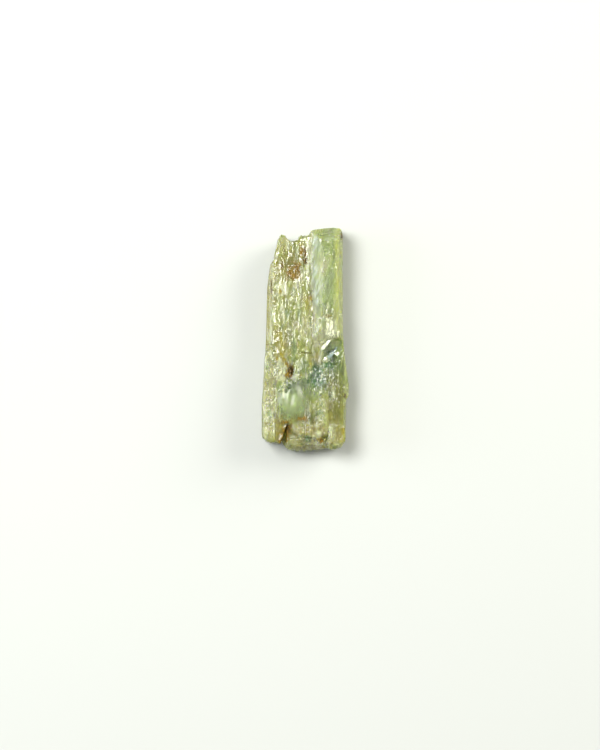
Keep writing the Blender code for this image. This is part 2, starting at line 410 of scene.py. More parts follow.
def fade(value, low, high):
    """0 up to low, 1 from high on, and smooth between. low may be the greater of the two."""
    t = np.clip((value - low) / (high - low), 0.0, 1.0)
    return t * t * (3.0 - 2.0 * t)


def noise(points, size, seed):
    """Smooth random values between -1 and 1 that change over about size, which may differ by axis."""
    lattice = np.random.default_rng(seed).uniform(-1.0, 1.0, (LATTICE,) * 3)
    scaled = points / np.asarray(size) + FAR_OFF
    cell = np.floor(scaled).astype(int)
    part = scaled - cell
    part = part * part * (3.0 - 2.0 * part)
    total = np.zeros(len(points))
    for corner in np.ndindex(2, 2, 2):
        weight = np.prod(np.where(corner, part, 1.0 - part), axis=1)
        total += weight * lattice[tuple(((cell + corner) % LATTICE).T)]
    return total


def bumps(p, height, size, seed):
    """Soft bumps and dents up to a height."""
    return height * noise(p, size, seed)


def zone(p, places, edge=0.3, ragged=0.35, size=0.3, seed=1):
    """1 in the places, 0 away from them, and frayed along their edges. edge is how soft the edge is
    and ragged how far it wanders, both as shares of the place, and size is that of the rags."""
    wander = ragged * noise(p, (size, 2.0 * size, size), seed)
    covered = np.zeros(len(p))
    for x, y, half_width, half_length, turn in places:
        c, s = math.cos(math.radians(turn)), math.sin(math.radians(turn))
        dx, dy = p[:, 0] - x, p[:, 1] - y
        across, along = np.abs(dx * c + dy * s) / half_width, np.abs(dy * c - dx * s) / half_length
        share = (across**SQUARENESS + along**SQUARENESS) ** (1.0 / SQUARENESS)
        covered = np.maximum(covered, fade(share + wander, 1.0 + edge, 1.0 - edge))
    return covered


def stroke(p, x1, y1, x2, y2, half_width, seed):
    """1 on the line between two places and 0 a few widths away from it."""
    run = np.array((x2 - x1, y2 - y1))
    length = np.hypot(*run)
    unit = run / length
    dx, dy = p[:, 0] - x1, p[:, 1] - y1
    along = dx * unit[0] + dy * unit[1]
    off = dy * unit[0] - dx * unit[1] + LINE_WANDER * half_width * noise(p, STRAY_SIZE, seed)
    past = np.maximum(np.maximum(-along, along - length), 0.0)
    return np.exp(-(off**2 + past**2) / half_width**2)


def splinters(across, along, width, length, seed):
    """Which splinter each point is on. Returns three random numbers for it, from -1 to 1, and the
    point's distance from its middle across and along."""
    rng = np.random.default_rng(seed)
    edges = np.cumsum(rng.uniform(*SPLINTER_WIDTHS, SPLINTER_COUNT)) * width
    edges -= edges[SPLINTER_COUNT // 2]
    column = np.clip(np.searchsorted(edges, across), 1, SPLINTER_COUNT - 1)
    reach = length * rng.uniform(*SPLINTER_LENGTHS, SPLINTER_COUNT)[column]
    place = along / reach + rng.uniform(0.0, 1.0, SPLINTER_COUNT)[column]
    row = np.floor(place).astype(int)
    draws = rng.uniform(-1.0, 1.0, (3, SPLINTER_COUNT, SPLINTER_ROWS))[:, column, row % SPLINTER_ROWS]
    middle = (edges[column] + edges[column - 1]) / 2
    return draws, across - middle, (place - row - 0.5) * reach


# ---------------------------------------------------------------- the crystal's mesh

# Width, length, height and side slope of the splinters on the upper side, coarse to fine
FACE_SPLINTERS = [(1.3, 5.0, 0.035, 0.04), (0.45, 1.4, 0.009, 0.05), (0.2, 0.6, 0.006, 0.085)]
# Thickness, length, height and slope of the layers that show on the crystal's long sides
FLANK_LAYERS = [(1.0, 18.0, 0.09, 0.04), (0.38, 8.0, 0.05, 0.1), (0.17, 3.5, 0.018, 0.2)]
FACE_SEED, FLANK_SEED, LINE_SEED, FACET_SEED = 11, 61, 60, 90
TIPPING = 5  # the greater this odd power, the fewer the splinters that are tipped much
END_SLOPE = 0.3  # how far splinters are tipped along their length, as a share of their side slope

# Where the splinters fan out to the left, by FAN for each millimetre above the foot
FAN, FAN_FOOT, FAN_RIGHT, FAN_WIDTH = 0.045, -8.0, 4.0, 9.0
# How far the layers on the sides rise for each millimetre along X and Y
LAYER_RISE_X, LAYER_RISE_Y = 0.15, 0.012

# Bumps: their height or strength, their size along X, Y and Z or in all directions, and their seed
WAVES = (0.03, (1.2, 3.5, 1.2), 21)
RIPPLES = (0.012, (0.3, 1.1, 0.3), 22)
COARSE_GRAINS = (0.055, (0.23, 0.31, 0.2), 33)
FINE_GRAINS = (0.04, (0.13, 0.17, 0.12), 34)
GRAIN_PATCHES = (0.8, 0.7, 36)
END_LUMPS = (0.2, 0.8, 35)
END_GRAINS = (0.06, 0.25, 32)
STREAK_RIPPLES = (1.0, (0.24, 1.3, 1.0), 71)
# These shift the splinters' lines sideways and up, and fray their ends
SWAY_SIDEWAYS = (0.02, (1.5, 4.0, 1.5), 3)
SWAY_UP = (0.02, (1.5, 4.0, 1.5), 5)
FRAYED_ENDS = (0.3, (0.12, 0.5, 0.12), 4)

GRAINY_SHARE = 0.6  # of a crumbled face that has grains, before the patches add to it or take away
SHOULDER_STREAKS, FACE_STREAKS = 0.02, 0.006  # the slanting streaks' height beside and on the clear blade

# How much of their relief the worn faces have lost
SMOOTH_LOSS, HALF_SMOOTH_LOSS, CALMER_LOSS = 0.92, 0.6, 0.25

# How much higher the lump's crest gets for each millimetre to the right and towards the foot
CREST_RISE_X, CREST_RISE_Y = 0.2, 0.12

# The blocks that the broken ends are made of: width, height, seed, how far they stand out and their slope
END_BLOCKS = (0.35, 0.9, 31, 0.12, 0.2)
# Where the clear blade's flat end fades in, along X and along Y
FLAT_END_X, FLAT_END_Y = (0.5, 0.7), (10.0, 11.0)

# How squarely a face looks up, to a side or along the blades: from too little to count to fully counted
LOOKS_UP, LOOKS_ASIDE, LOOKS_ALONG = (0.35, 0.8), (0.6, 0.85), (0.6, 0.9)

# The wearing of the edges: where, how soft its limits are, and how many rounds of softening
FIRST_ROUNDS = 4  # take the even mesh's stair steps off everywhere
WEAR = [(WEATHERED, 0.2, 40), (RUBBED, 0.1, 60), (ROUNDED, 0.1, 60)]
HALF_WAY = 0.5


def keep_modifiers(obj):
    """Replaces an object's mesh by what its modifiers make of it."""
    graph = bpy.context.evaluated_depsgraph_get()
    made = bpy.data.meshes.new_from_object(obj.evaluated_get(graph))
    obj.modifiers.clear()
    obj.data = made


def numbers(collection, name, width, kind=np.float32):
    """One property of every vertex, edge or face, as an array."""
    flat = np.empty(len(collection) * width, kind)
    collection.foreach_get(name, flat)
    return flat.reshape(-1, width)


def worked_mesh():
    """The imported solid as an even, fine mesh."""
    crystal = bpy.data.objects.new("green_kyanite_blades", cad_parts[NODE].data.copy())
    bpy.context.scene.collection.objects.link(crystal)
    even = crystal.modifiers.new("even", "REMESH")
    even.mode = "VOXEL"
    even.voxel_size = FINE_STEP * MM
    keep_modifiers(crystal)
    return crystal


def soften(p, edges, share, rounds):
    """Rounds a surface off by moving each point some share of the way to its neighbours' middle."""
    a, b = edges.T
    count = len(p)
    degree = np.bincount(a, minlength=count) + np.bincount(b, minlength=count)
    for _ in range(rounds):
        for axis in range(3):
            total = np.bincount(a, p[b, axis], count) + np.bincount(b, p[a, axis], count)
            p[:, axis] += share * (total / degree - p[:, axis])
    return p


def cleavage(p):
    """Coordinates across the splinters, through the layers and along both, with frayed ends."""
    x, y, z = p.T
    fan = FAN * (y - FAN_FOOT) * np.clip((FAN_RIGHT - x) / FAN_WIDTH, 0.0, 1.0)
    across = x - fan + bumps(p, *SWAY_SIDEWAYS)
    through = z + LAYER_RISE_Y * y + LAYER_RISE_X * x + bumps(p, *SWAY_UP)
    along = y + bumps(p, *FRAYED_ENDS)
    return across, through, along


def slanted(p):
    """The points turned, so that Y runs along the streaks that slant across the clear blade."""
    lean = math.radians(STREAK_LEAN)
    across = p[:, 0] * math.cos(lean) - p[:, 1] * math.sin(lean)
    along = p[:, 1] * math.cos(lean) + p[:, 0] * math.sin(lean)
    return np.stack((across, along, p[:, 2]), axis=1)


def facing(n):
    """How far each point belongs to the upper side, a long side and an end."""
    up, side, end = np.abs(n[:, 2]), np.abs(n[:, 0]), np.abs(n[:, 1])
    return fade(up, *LOOKS_UP), fade(side, *LOOKS_ASIDE), fade(end, *LOOKS_ALONG)


def broken_ends(p):
    """How far each point belongs to a broken end, and how far its block stands out there. The clear
    blade's end, at the right, cleaved flat."""
    x, y, z = p.T
    width, tall, seed, stand_out, slope = END_BLOCKS
    draws, across, _ = splinters(x, z, width, tall, seed)
    broken = 1.0 - fade(x, *FLAT_END_X) * fade(y, *FLAT_END_Y)
    blocks = stand_out * draws[0] + slope * draws[1] * across + bumps(p, *END_LUMPS)
    return broken, blocks + bumps(p, *END_GRAINS)


def relief(p, n):
    """How far each point moves out along its normal."""
    x, y, _ = p.T
    face, flank, tip = facing(n)
    u, w, v = cleavage(p)
    rough = 1.0 - SMOOTH_LOSS * zone(p, **FRAY["smooth"])
    rough *= 1.0 - HALF_SMOOTH_LOSS * zone(p, **FRAY["half_smooth"])
    rough *= 1.0 - CALMER_LOSS * zone(p, CALMER, edge=0.6, seed=25)
    moved = bumps(p, *WAVES) * rough
    moved += bumps(p, *RIPPLES) * (1.0 - rough) * (1.0 - zone(p, SATIN, seed=16))
    for k, (width, length, height, slope) in enumerate(FACE_SPLINTERS):
        draws, across, along = splinters(u, v, width, length, FACE_SEED + k)
        tilt = slope * draws[1] ** TIPPING * across + END_SLOPE * slope * draws[2] ** TIPPING * along
        moved += rough * face * (height * draws[0] + tilt)
    for k, (width, length, height, slope) in enumerate(FLANK_LAYERS):
        draws, across, _ = splinters(w, v, width, length, FLANK_SEED + k)
        moved += flank * (height * draws[0] + slope * draws[1] * across)
    broken, blocks = broken_ends(p)
    moved += tip * broken * blocks
    crest = zone(p, CREST, edge=0.6, ragged=0.1)
    moved += (CREST_RISE_X * (x - CREST_X) - CREST_RISE_Y * (y - CREST_Y)) * crest
    shoulder = SHOULDER_STREAKS * zone(p, RIPPLED, edge=0.4, ragged=0.2)
    streaked = np.maximum(shoulder, FACE_STREAKS * zone(p, **FRAY["polished"]))
    moved += bumps(slanted(p), *STREAK_RIPPLES) * streaked
    grains = zone(p, GRAINY, seed=5)
    grains *= face * np.clip(GRAINY_SHARE + bumps(p, *GRAIN_PATCHES), 0.0, 1.0)
    moved += grains * (bumps(p, *COARSE_GRAINS) + bumps(p, *FINE_GRAINS))
    for k, (x1, y1, x2, y2, half_width, height) in enumerate(LINES):
        moved += face * height * stroke(p, x1, y1, x2, y2, half_width, LINE_SEED + k)
    upward = fade(n[:, 2], -0.6, -0.2)  # 0 on the resting face, which stays flat
    return moved * upward


def break_flat(p, n):
    """Puts the points of the upper side that lie in a flat break on its plane."""
    for k, (x, y, half_width, half_length, turn, height, rise_x, rise_y, depth) in enumerate(FACETS):
        place = [(x, y, half_width, half_length, turn)]
        upper = fade(n[:, 2], 0.0, 0.3)
        share = depth * zone(p, place, edge=0.15, ragged=0.25, seed=FACET_SEED + k) * upper
        plane = height + rise_x * (p[:, 0] - x) + rise_y * (p[:, 1] - y)
        p[:, 2] += share * (plane - p[:, 2])
    return p


def carve(crystal):
    """Wears the edges and gives the faces their relief."""
    mesh = crystal.data
    p = numbers(mesh.vertices, "co", 3).astype(float) / MM
    edges = numbers(mesh.edges, "vertices", 2, np.int32)
    p = soften(p, edges, HALF_WAY, FIRST_ROUNDS)
    for places, edge, rounds in WEAR:
        p = soften(p, edges, HALF_WAY * zone(p, places, edge=edge), rounds)
    mesh.vertices.foreach_set("co", (p * MM).astype(np.float32).ravel())
    mesh.update()
    n = numbers(mesh.vertex_normals, "vector", 3).astype(float)
    p = break_flat(p, n) + n * relief(p, n)[:, None]
    mesh.vertices.foreach_set("co", (p * MM).astype(np.float32).ravel())
    mesh.update()


def thin_out(crystal):
    """Takes away the triangles that flat places don't need."""
    mesh = crystal.data
    mesh.calc_loop_triangles()
    ratio = MOST_TRIANGLES / len(mesh.loop_triangles)
    if ratio < 1:
        thin = crystal.modifiers.new("thin", "DECIMATE")
        thin.ratio = ratio
        keep_modifiers(crystal)
    crystal.data.shade_smooth()


def splinter_tones(p, n):
    """A tone from 0 to 1 for each splinter or layer, so that neighbours differ in colour and gloss."""
    face, flank, _ = facing(n)
    u, w, v = cleavage(p)
    tones = {}
    for k, name in ((1, "lath_tone"), (2, "splinter_tone")):
        on_face = splinters(u, v, *FACE_SPLINTERS[k][:2], FACE_SEED + k)[0][2]
        on_flank = splinters(w, v, *FLANK_LAYERS[k][:2], FLANK_SEED + k)[0][2]
        tones[name] = 0.5 + 0.5 * np.where(flank > face, on_flank, on_face)
    return tones


BROAD_STREAKS = (1.0, (0.14, 1.2, 1.0), 71)
THIN_STREAKS = (0.7, (0.08, 0.5, 1.0), 72)
STREAK_LIMITS = (-0.3, 0.6)  # the sums of both at which a streak starts and is at its brightest
# How strong the painted sheen is on the clear blade's face and on its left side
FACE_SHEEN, SHOULDER_SHEEN = 0.35, 0.95  # how silvery the clear blade's face and left side are


def painted_sheen_streaks(p):
    """Streaks of painted sheen that lean to the right going up the clear blade."""
    turned = slanted(p)
    streaks = fade(bumps(turned, *BROAD_STREAKS) + bumps(turned, *THIN_STREAKS), *STREAK_LIMITS)
    on_face, on_shoulder = zone(p, **FRAY["polished"]), zone(p, **FRAY["painted_sheen_zone"])
    return streaks * np.maximum(FACE_SHEEN * on_face, SHOULDER_SHEEN * on_shoulder)


ZONE_MARKS = (
    "polished", "pale", "milky", "grainy", "satin", "silky", "deep", "olive", "painted_reflection", "gap", "rust",
    "ochre", "painted_glow", "teal", "earth", "crushed_and_painted_glints",
)
HALF_CLEAR = 0.6  # how clear the half smooth face is
# Stains of the upper side fade out down the sides, between two heights and unevenly
STAIN_BOTTOM, STAIN_TOP = 2.9, 3.7
STAIN_EDGE = (0.4, 0.8, 14)
# The foot's cleft is stained all the way down. It lies between two values of X and below one of Y
CLEFT_LEFT, CLEFT_RIGHT, CLEFT_HEAD = -3.4, -1.4, -9.5


def mark_zones(crystal):
    """Stores where the stains and finishes are, and the painted glow, sheen, reflection, glints and shade,
    for the material.
    """
    mesh = crystal.data
    p = numbers(mesh.vertices, "co", 3).astype(float) / MM
    n = numbers(mesh.vertex_normals, "vector", 3).astype(float)
    marks = {name: zone(p, **FRAY[name]) for name in ZONE_MARKS}
    marks["clear"] = np.maximum(zone(p, **FRAY["smooth"]), HALF_CLEAR * zone(p, **FRAY["half_smooth"]))
    marks["painted_sheen"] = painted_sheen_streaks(p)
    x, y, z = p.T
    upper = fade(z + bumps(p, *STAIN_EDGE), STAIN_BOTTOM, STAIN_TOP)
    upper = np.maximum(upper, (x > CLEFT_LEFT) & (x < CLEFT_RIGHT) & (y < CLEFT_HEAD))
    for name in ("rust", "earth", "crushed_and_painted_glints"):
        marks[name] = upper * marks[name]
    marks.update(splinter_tones(p, n))
    for name, values in marks.items():
        layer = mesh.attributes.new(name, "FLOAT", "POINT")
        layer.data.foreach_set("value", values.astype(np.float32))


# ---------------------------------------------------------------- flakes in and on the crystal

FLAKE_THICKNESS = 0.012  # from the middle of a flake to its skin
FLAKE_SIDES = 7
FLAKE_REACH = (0.65, 1.1)  # the least and most that a corner reaches out, which makes the outline uneven
STRAY_HEADING, STRAY_SLOPE = 0.06, 0.08  # standard deviations, in radians
LOWEST_FACING = -0.3  # faces that look further down than this have no flakes behind them

# The height above which the flakes of some kinds lie
LOWEST = {
    "crushed_and_painted_glints": 3.2,
    "crumbled": 2.8,
    "chalk_and_painted_glints": 3.2,
    "painted_reflection": 3.0,
    "painted_sheen": 3.0,
    "rust_crust": 3.0,
    "earth": 2.6,
}

VEIL_LOSS = 0.82  # the share of the veils that smooth faces lack
VEIL_SHARE = 0.45  # how thickly veils lie on average, and their bunches as bumps about it
VEIL_BUNCHES = (0.9, (0.5, 2.5, 0.5), 41)
CRUMB_SHARE = 0.3
CRUMB_BUNCHES = (1.0, (0.2, 0.3, 0.2), 43)
CLEAR_BLADE_MILK = 0.15  # how milky the clear blade is, next to the lump
SHEEN_CROWDING = 3  # the power that gathers silvery flakes in the brightest streaks

SPLIT_ROUGHNESS, POWDER_ROUGHNESS = 0.3, 0.9
# The pieces made of flakes: the piece's name, its material, colour and roughness, and its draws. A draw is
# how many flakes are tried, its seed, where they lie, half width, half length, least depth and mean depth
# beyond it, how much they lean from the surface (a standard deviation in radians), how far their ends
# stay under it, or None if they may break through, and how far they head to the right of Y in degrees.
# Real bubbles, films and grains are mostly too fine to show, so these are coarser and there are fewer
FLAKES = [
    # Kyanite clouded by tiny bubbles. Softens the lump to a milky green
    ("sealed_milky_specks", "milky_kyanite", "#E0EEBA", SPLIT_ROUGHNESS, [
        (5000, 9, "milky", (0.02, 0.05), (0.05, 0.14), (0.12, 0.35), 1.0, 0.03, 0.0),
    ]),
    # Air that has got into cleavage cracks. Shows as thin pale needles and sheets along the blades
    ("sealed_cleavage_veils", "air_in_cleavage_cracks", "#E1E9A6", SPLIT_ROUGHNESS, [
        (8000, 1, "streaked", (0.02, 0.08), (0.08, 0.5), (0.04, 0.3), 0.5, 0.03, 0.0),
        (2500, 5, "pale", (0.02, 0.07), (0.1, 0.5), (0.03, 0.2), 0.5, 0.02, 0.0),
        (500, 2, "streaked", (0.2, 0.6), (0.6, 2.2), (0.25, 0.8), 0.6, 0.03, 0.0),
    ]),
    # Pale yellow green flakes along the edges, where light comes out again: a painted glow
    ("painted_glow_edges", "painted_glow_cleavage", "#EFF7A4", SPLIT_ROUGHNESS, [
        (2500, 4, "painted_glow", (0.03, 0.08), (0.2, 0.7), (0.05, 0.2), 0.6, 0.02, 0.0),
    ]),
    # Kyanite crushed by knocks. Nearly white, and in one place open to the air; its white flakes are partly
    # painted glints
    ("crushed_streaks_and_painted_glints", "crushed_kyanite_and_glint_white", "#F4F8D8", SPLIT_ROUGHNESS, [
        (8000, 3, "crushed_and_painted_glints", (0.02, 0.09), (0.05, 0.25), (0.015, 0.1), 0.6, 0.01, 0.0),
        (5000, 10, "crumbled", (0.02, 0.05), (0.03, 0.12), (0.015, 0.08), 0.8, 0.01, 0.0),
        (220, 12, "chalk_and_painted_glints", (0.02, 0.06), (0.1, 0.4), (-0.004, 0.03), 0.3, None, 0.0),
    ]),
    # Films just under the shell-shaped break, pale flakes that paint a cold bluish white reflection there
    ("painted_reflection_films", "painted_reflection_film", "#E2F0F2", SPLIT_ROUGHNESS, [
        (500, 8, "painted_reflection", (0.03, 0.1), (0.06, 0.25), (0.018, 0.05), 0.3, 0.012, 0.0),
    ]),
    # Fine splits across the clear blade, pale flakes that paint a silvery sheen on its left side
    ("painted_sheen_flakes", "painted_sheen_cleavage", "#F2F8E8", SPLIT_ROUGHNESS, [
        (2200, 11, "painted_sheen", (0.015, 0.05), (0.1, 0.45), (0.02, 0.08), 0.3, 0.012, STREAK_LEAN),
    ]),
    # Dry iron rust in scales. Golden brown and quite dull against the glassy stone
    ("rust_scales", "dry_iron_rust", "#866A08", POWDER_ROUGHNESS, [
        (1600, 6, "rust_crust", (0.03, 0.08), (0.05, 0.18), (-0.004, 0.03), 0.3, None, 0.0),
    ]),
    # Dry earth packed into the pit and the cracks. Darkens them without any gloss
    ("earth_grains", "dry_dark_earth", "#66501A", POWDER_ROUGHNESS, [
        (1000, 7, "earth", (0.03, 0.08), (0.05, 0.18), (-0.004, 0.03), 0.3, None, 0.0),
    ]),
]


def plain_material(name, colour, roughness):
    """An opaque material that is the same all over."""
    material = bpy.data.materials.new(name)
    material.use_nodes = True
    shader = material.node_tree.nodes["Principled BSDF"]
    shader.inputs["Base Color"].default_value = linear(colour)
    shader.inputs["Roughness"].default_value = roughness
    return material


def flake_places(p):
    """How thickly the flakes of each kind lie at points of the surface, from 0 to 1."""
    same_as_marks = ("painted_glow", "pale", "milky", "painted_reflection", "chalk_and_painted_glints", "rust_crust", "earth")
    thick = {name: zone(p, **FRAY[name]) for name in same_as_marks}
    bare = np.maximum(VEIL_LOSS * zone(p, **FRAY["smooth"]), zone(p, **FRAY["free_of_veils"]))
    thick["streaked"] = (1.0 - bare) * np.clip(VEIL_SHARE + bumps(p, *VEIL_BUNCHES), 0.0, 1.0)
    thick["milky"] = np.maximum(thick["milky"], CLEAR_BLADE_MILK * zone(p, **FRAY["polished"]))
    thick["crushed_and_painted_glints"] = zone(p, **FRAY["crushed_and_glint_core"])
    crumbs = np.clip(bumps(p, *CRUMB_BUNCHES) + CRUMB_SHARE, 0.0, 1.0)
    thick["crumbled"] = crumbs * zone(p, **FRAY["grainy"])
    thick["painted_sheen"] = painted_sheen_streaks(p) ** SHEEN_CROWDING
    for name, height in LOWEST.items():
        thick[name] = (p[:, 2] > height) * thick[name]
    return thick


def inside(tree, point, least):
    """True if a point is in the crystal, and at least this far from its surface."""
    place, normal, _, distance = tree.find_nearest(point)
    return distance > least and (point - place).dot(normal) < 0


def draw_flakes(skin, thick, count, seed, where, width, length, depth, tilt, gap, heading):
    """Draws flakes that lie along the blades behind the skin, and leaves out those that come too near
    it. A flake is its middle, its vectors to a side, to an end and through its thickness."""
    tree, centres, normals, areas = skin
    rng = np.random.default_rng(seed)
    weight = areas * thick[where]
    flakes = []
    for k in rng.choice(len(weight), count, p=weight / weight.sum()):
        normal = Vector(normals[k])
        half_width, half_length = rng.uniform(*width), rng.uniform(*length)
        middle = Vector(centres[k]) - normal * (depth[0] + rng.exponential(depth[1]))
        rightward = math.tan(math.radians(heading)) + rng.normal(0.0, STRAY_HEADING)
        along = Vector((rightward, 1.0, 0.0))
        along = (along - normal * along.dot(normal)).normalized()
        across = along.cross(normal).normalized()
        lean, slope = rng.normal(0.0, tilt), rng.normal(0.0, STRAY_SLOPE)
        across = (across * math.cos(lean) + normal * math.sin(lean)) * half_width
        along = (along * math.cos(slope) + normal * math.sin(slope)) * half_length
        ends = (middle, middle + along, middle - along, middle + across, middle - across)
        if gap is None or all(inside(tree, end, gap) for end in ends):
            flakes.append((middle, across, along, across.cross(along).normalized() * FLAKE_THICKNESS))
    return flakes


def lenses(name, flakes, material):
    """Joins thin closed lenses with uneven outlines into one object, one lens for each flake."""
    rng = np.random.default_rng(len(flakes))
    verts, faces = [], []
    for middle, across, along, out in flakes:
        first = len(verts)
        for k in range(FLAKE_SIDES):
            a = 2.0 * math.pi * k / FLAKE_SIDES
            reach = rng.uniform(*FLAKE_REACH)
            verts.append((middle + across * (reach * math.cos(a)) + along * (reach * math.sin(a))) * MM)
        verts.append((middle + out) * MM)
        verts.append((middle - out) * MM)
        top = first + FLAKE_SIDES
        for k in range(FLAKE_SIDES):
            here, after = first + k, first + (k + 1) % FLAKE_SIDES
            faces.append((here, after, top))
            faces.append((after, here, top + 1))
    mesh = bpy.data.meshes.new(name)
    mesh.from_pydata(verts, [], faces)
    mesh.materials.append(material)
    made = bpy.data.objects.new(name, mesh)
    bpy.context.scene.collection.objects.link(made)
    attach(made, "root")


def add_flakes(crystal):
    """Adds every piece of FLAKES."""
    faces = crystal.data.polygons
    points = [v.co / MM for v in crystal.data.vertices]
    tree = BVHTree.FromPolygons(points, [tuple(face.vertices) for face in faces])
    centres = numbers(faces, "center", 3).astype(float) / MM
    normals = numbers(faces, "normal", 3).astype(float)
    areas = numbers(faces, "area", 1)[:, 0] * (normals[:, 2] > LOWEST_FACING)
    skin = (tree, centres, normals, areas)
    thick = flake_places(centres)
    for name, material, colour, roughness, draws in FLAKES:
        flakes = []
        for draw in draws:
            flakes += draw_flakes(skin, thick, *draw)
        lenses(name, flakes, plain_material(material, colour, roughness))


# ---------------------------------------------------------------- green kyanite

# Patterns in the stone: their size along X, Y and Z, and their detail. Kyanite's own fibres are a few
# hundredths of a millimetre wide, too fine to show, so the fibres and striae here are several times wider
PATTERNS = {
    "striae": ((0.07, 0.9, 0.07), 3.0),
    "specks": ((0.14, 0.2, 0.14), 3.0),
    "fibres": ((0.14, 0.6, 0.14), 2.0),
    "streaks": ((0.5, 2.0, 0.5), 2.0),
    "small_patches": ((0.7, 1.5, 0.7), 2.0),
    "patches": ((0.9, 1.6, 0.9), 2.0),
    "wide_patches": ((1.0, 2.1, 1.1), 2.0),
    "clouds": ((2.2, 3.0, 2.2), 2.0),
}
# Shares that follow a mark or a pattern: the share's name, what it follows, the two values it goes
# between, and the share at each of them
SHARES = [
    ("worked", "clear", 0.0, 1.0, 1.0, 0.2),
    ("cloudy", "clouds", 0.35, 0.65, 0.0, 1.0),
    ("dark_fibres", "fibres", 0.5, 0.7, 0.0, 0.6),
    ("dark_laths", "lath_tone", 0.55, 1.0, 0.0, 0.6),
    ("pale_splinters", "splinter_tone", 0.5, 1.0, 0.0, 0.8),
    ("pale_streaks", "streaks", 0.52, 0.68, 0.0, 0.5),
    ("straw_patches", "small_patches", 0.55, 0.7, 0.0, 0.6),
    ("green_patches", "wide_patches", 0.55, 0.7, 0.0, 0.6),
    ("ochre_specks", "specks", 0.3, 0.6, 0.35, 0.9),
    ("teal_specks", "specks", 0.35, 0.6, 0.5, 0.95),
    # White crumbs on crumbled faces, partly painted glints
    ("white_crumbs_and_painted_glints", "specks", 0.56, 0.64, 0.0, 0.75),
    ("rust_specks", "specks", 0.3, 0.5, 0.6, 1.0),
    ("splinter_frost", "splinter_tone", 0.0, 1.0, 0.06, 0.2),
    ("grain_frost", "grainy", 0.0, 1.0, 0.0, 0.12),
    ("clear_gloss", "polished", 0.0, 1.0, 1.0, 0.6),
    ("fewer_on_clear", "clear", 0.0, 1.0, 1.0, 0.5),
    ("glint_patches", "patches", 0.42, 0.6, 0.2, 0.65),
    ("fewer_on_crust", "crust", 0.0, 0.6, 1.0, 0.4),
    ("fewer_on_satin", "satin", 0.0, 1.0, 1.0, 0.25),
]
# Tints laid over each other from the first to the last: the colour, where it goes, and how much of it
BODY_COLOUR = "#EAEFA8"
TINTS = [
    ("#D4DB84", "everywhere", "cloudy"),
    ("#CFE2A0", "clear", 0.85),
    ("#A9BA68", "worked", "dark_fibres"),
    ("#A8B25E", "worked", "dark_laths"),
    # Painted glow of the edges that light leaves by
    ("#F0F7A6", "painted_glow", 1.0),
    ("#FAF3CE", "pale", 0.8),
    ("#F6F9D8", "worked", "pale_splinters"),
    ("#F5F8DC", "worked", "pale_streaks"),
    ("#E2F0C0", "milky", 0.8),
    ("#CDBE62", "worked", "straw_patches"),
    ("#B4D0AE", "worked", "green_patches"),
    ("#D2C45C", "ochre", "ochre_specks"),
    ("#86A080", "deep", 0.6),
    ("#90985C", "olive", 0.6),
    ("#549860", "teal", "teal_specks"),
    # Painted sheen of the sky's reflection on the clear blade
    ("#F2FAEE", "painted_sheen", 1.0),
    # White crumbs on crumbled faces, partly painted glints
    ("#F8FAEC", "grainy", "white_crumbs_and_painted_glints"),
    # White of crushed places, partly painted glints
    ("#F4F8D8", "crushed_and_painted_glints", 1.0),
    # Painted bluish white reflection in the shell-shaped break
    ("#E4F2F2", "painted_reflection", 1.0),
    # Painted shade in the dark gaps of the shell-shaped break
    ("#56705C", "gap", 0.9),
    ("#CFB838", "rust", "rust_specks"),
    ("#86701E", "earth", 1.0),
]
SATIN_ROUGHNESS, SILKY_ROUGHNESS = 0.22, 0.36
# What makes the roughness and the strength of the glints, step by step: the result, how it is reckoned,
# and from what
SUMS = [
    ("roughness", "MULTIPLY_ADD", "satin", SATIN_ROUGHNESS, "grain_frost"),
    ("roughness", "ADD", "splinter_frost", "roughness"),
    ("roughness", "MULTIPLY", "roughness", "clear_gloss"),
    ("roughness", "MULTIPLY_ADD", "silky", SILKY_ROUGHNESS, "roughness"),
    ("glints", "MULTIPLY", "fewer_on_clear", "glint_patches"),
    ("glints", "MULTIPLY_ADD", "polished", 0.3, "glints"),
    ("glints", "MULTIPLY_ADD", "grainy", 0.55, "glints"),
    ("glints", "MULTIPLY", "glints", "fewer_on_crust"),
    ("glints", "MULTIPLY", "glints", "fewer_on_satin"),
]
# The tipped chips that glint. Most real ones are too fine to show, so these are drawn coarser
CHIP_SIZE = (0.11, 0.32, 0.11)
CHIP_HEIGHT, STRIA_HEIGHT = 0.38, 0.05
STRIA_STRENGTH = 0.2
FACTOR, COLOUR_A, COLOUR_B, COLOUR_OUT = 0, 6, 7, 2  # the Mix node's sockets for colours


def tint_stone(tree, sources):
    """The stone's colour with its stains, patches and pale cracks, and with painted glow, sheen, reflection,
    glints and shade.
    """
    colour = linear(BODY_COLOUR)
    for tint, where, share in TINTS:
        factors = {0: sources[where], 1: sources.get(share, share)}
        amount = add(tree, "ShaderNodeMath", factors, operation="MULTIPLY").outputs[0]
        mixed = {FACTOR: amount, COLOUR_A: colour, COLOUR_B: linear(tint)}
        colour = add(tree, "ShaderNodeMix", mixed, data_type="RGBA").outputs[COLOUR_OUT]
    return colour


